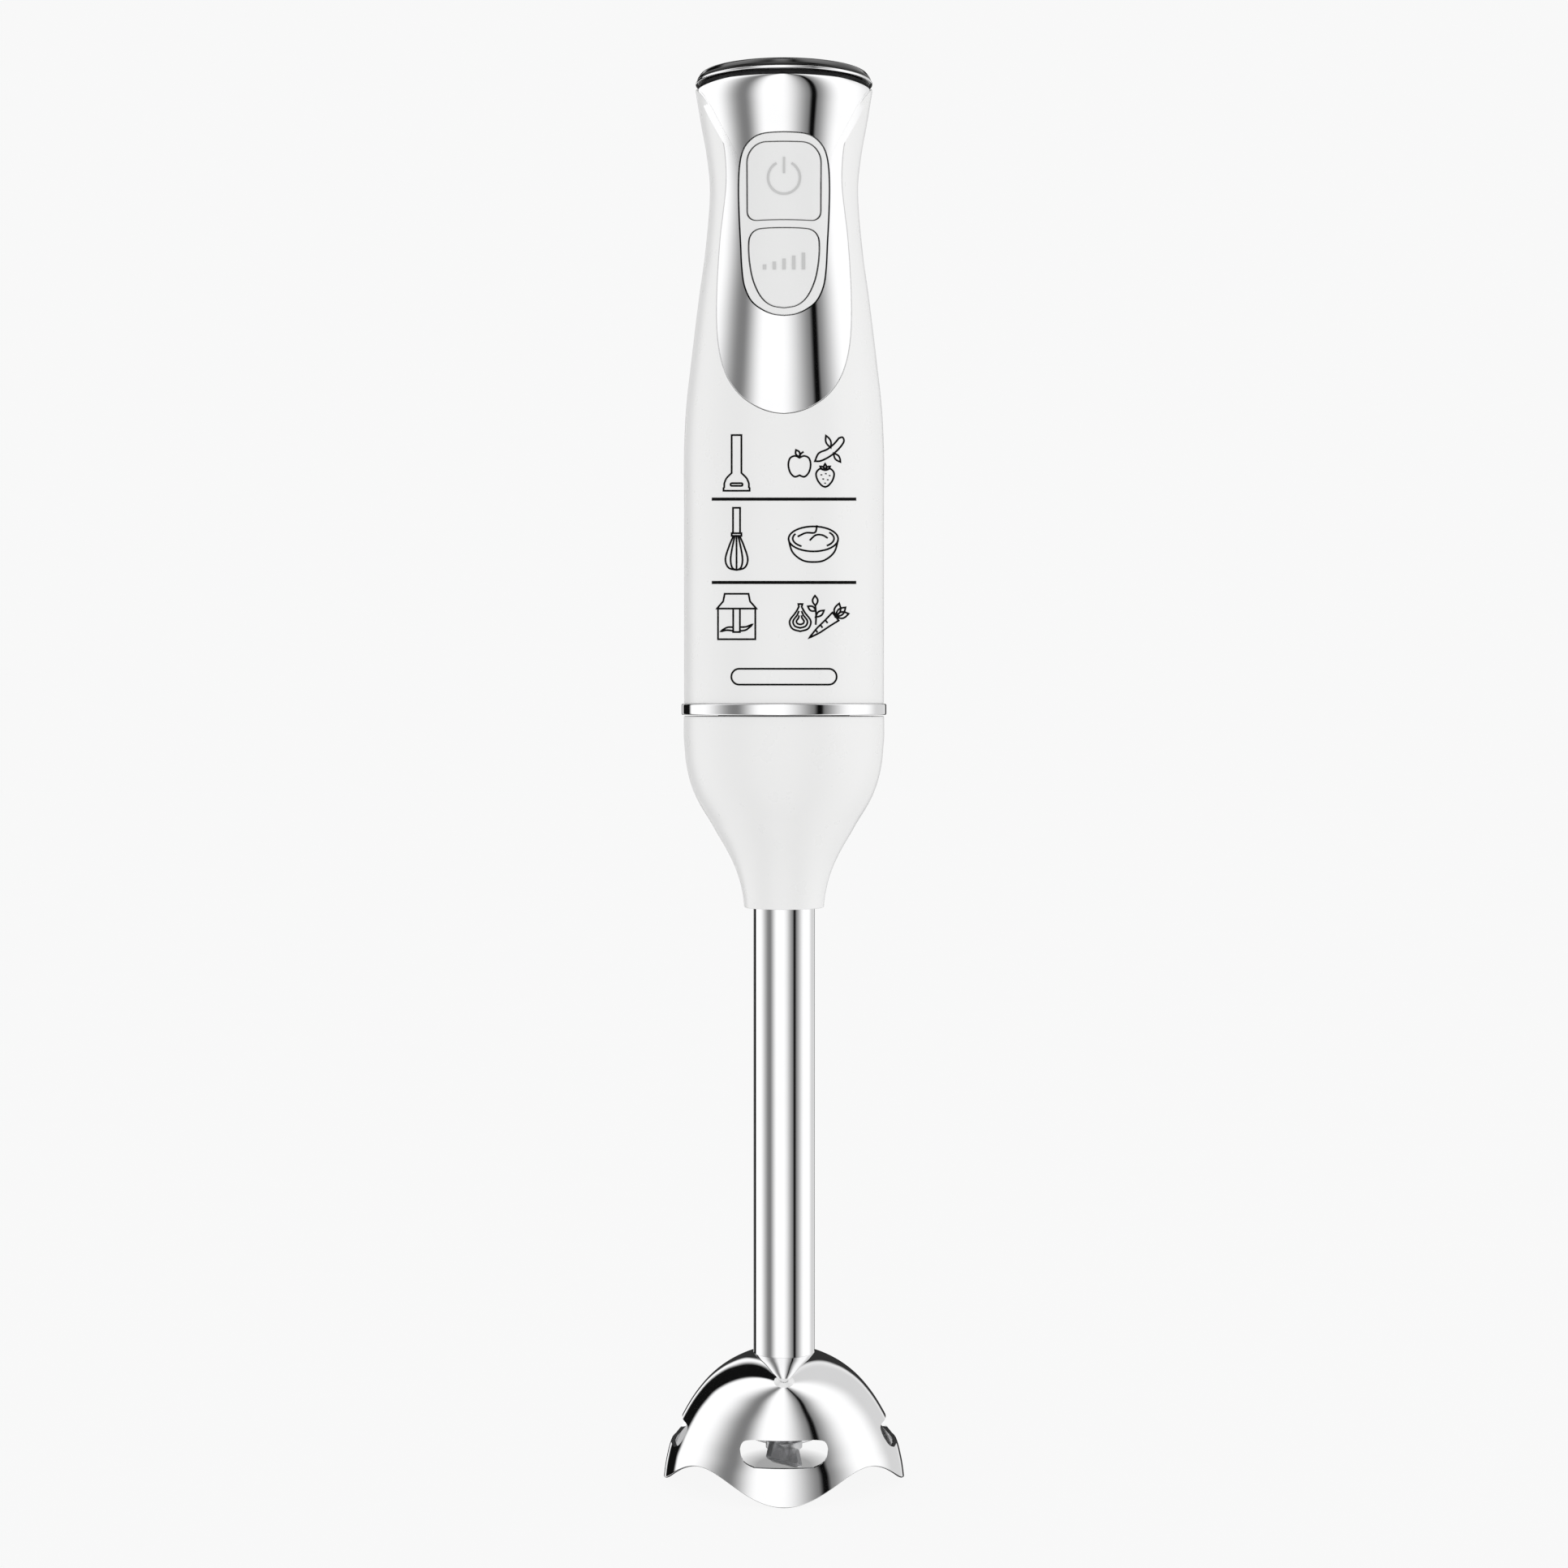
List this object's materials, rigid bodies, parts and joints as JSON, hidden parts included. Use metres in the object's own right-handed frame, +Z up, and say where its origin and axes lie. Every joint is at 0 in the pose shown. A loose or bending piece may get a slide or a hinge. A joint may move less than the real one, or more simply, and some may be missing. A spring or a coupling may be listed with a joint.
{
  "type": "immersion blender",
  "caption": "Upright immersion blender: white motor handle with chrome front panel and two push buttons, white coupling funnel, and a twist-lock steel foot with a windowed bell.",
  "frame": {"origin": "on the long axis, level with the four tips of the bell's rim that it stands on", "axes": "+Z up along the long axis from bell to cap, +X to the right seen from the button side, -Y towards the button side"},
  "size_m": [0.066, 0.066, 0.3836],
  "materials": {
    "white_plastic": "gloss",
    "chrome": "polished",
    "button_plastic": "satin",
    "dark_plastic": "satin",
    "grey_plastic": "satin",
    "rubber": "matte",
    "steel": "brushed",
    "blade_steel": "ground",
    "lamination": "satin",
    "copper": "varnished",
    "bronze": "sintered",
    "carbon": "matte",
    "board": "satin"
  },
  "bodies": {
    "handle": {"body_shell": "white_plastic", "front_panel": "chrome", "button_frame": "button_plastic", "cap_gasket": "rubber", "top_cap": "chrome", "cord_gland": "rubber", "power_spring": "steel", "turbo_spring": "steel", "circuit_board": "board", "switch_carrier": "grey_plastic", "power_switch": "dark_plastic", "turbo_switch": "dark_plastic", "cord_clamp": "grey_plastic", "clamp_screw_left": "steel", "clamp_screw_right": "steel", "motor_stator": "lamination", "field_coil_front": "copper", "field_coil_rear": "copper", "upper_bracket": "grey_plastic", "lower_bracket": "grey_plastic", "upper_bearing": "bronze", "lower_bearing": "bronze", "brush_holder_front": "dark_plastic", "brush_holder_rear": "dark_plastic", "carbon_brush_front": "carbon", "carbon_brush_rear": "carbon", "upper_motor_mount": "rubber", "lower_motor_mount": "rubber", "motor_retainer": "grey_plastic", "coupling_nose": "dark_plastic", "nose_seal": "rubber", "trim_ring": "chrome", "nose_screw_1": "steel", "nose_screw_2": "steel", "nose_screw_3": "steel"},
    "power_button": {"power_button": "button_plastic"},
    "turbo_button": {"turbo_button": "button_plastic"},
    "rotor": {"motor_shaft": "steel", "armature_core": "lamination", "armature_winding": "copper", "commutator": "copper", "cooling_fan": "dark_plastic", "drive_dog": "dark_plastic"},
    "foot_bushes": {"upper_bush": "bronze", "lower_bush": "bronze", "shaft_seal": "rubber"},
    "foot_shell": {"foot_housing": "white_plastic", "foot_socket": "dark_plastic", "foot_tube": "chrome", "bell": "chrome"},
    "blade_drive": {"blade_shaft": "steel", "driven_dog": "dark_plastic", "blade": "blade_steel", "blade_nut": "steel"}
  },
  "joints": [
    {"name": "power_press", "type": "slide", "parent": "handle", "child": "power_button", "axis": [0, 1, 0], "range_m": [0, 0.002], "stiffness_N_per_m": 900, "springref_m": -0.001, "deforming": ["power_spring"]},
    {"name": "turbo_press", "type": "slide", "parent": "handle", "child": "turbo_button", "axis": [0, 1, 0], "range_m": [0, 0.002], "stiffness_N_per_m": 900, "springref_m": -0.001, "deforming": ["turbo_spring"]},
    {"name": "motor_spin", "type": "hinge", "parent": "handle", "child": "rotor", "pos_m": [0, 0, 0.254], "axis": [0, 0, 1], "continuous": true},
    {"name": "foot_pull", "type": "slide", "parent": "handle", "child": "foot_bushes", "axis": [0, 0, -1], "range_m": [0, 0.045]},
    {"name": "foot_twist", "type": "hinge", "parent": "foot_bushes", "child": "foot_shell", "pos_m": [0, 0, 0.198], "axis": [0, 0, 1], "range_deg": [0, 25]},
    {"name": "shaft_spin", "type": "hinge", "parent": "foot_bushes", "child": "blade_drive", "pos_m": [0, 0, 0.1], "axis": [0, 0, 1], "continuous": true}
  ],
  "couplings": [
    {"joint": "shaft_spin", "follows": "motor_spin", "ratio": 1}
  ]
}
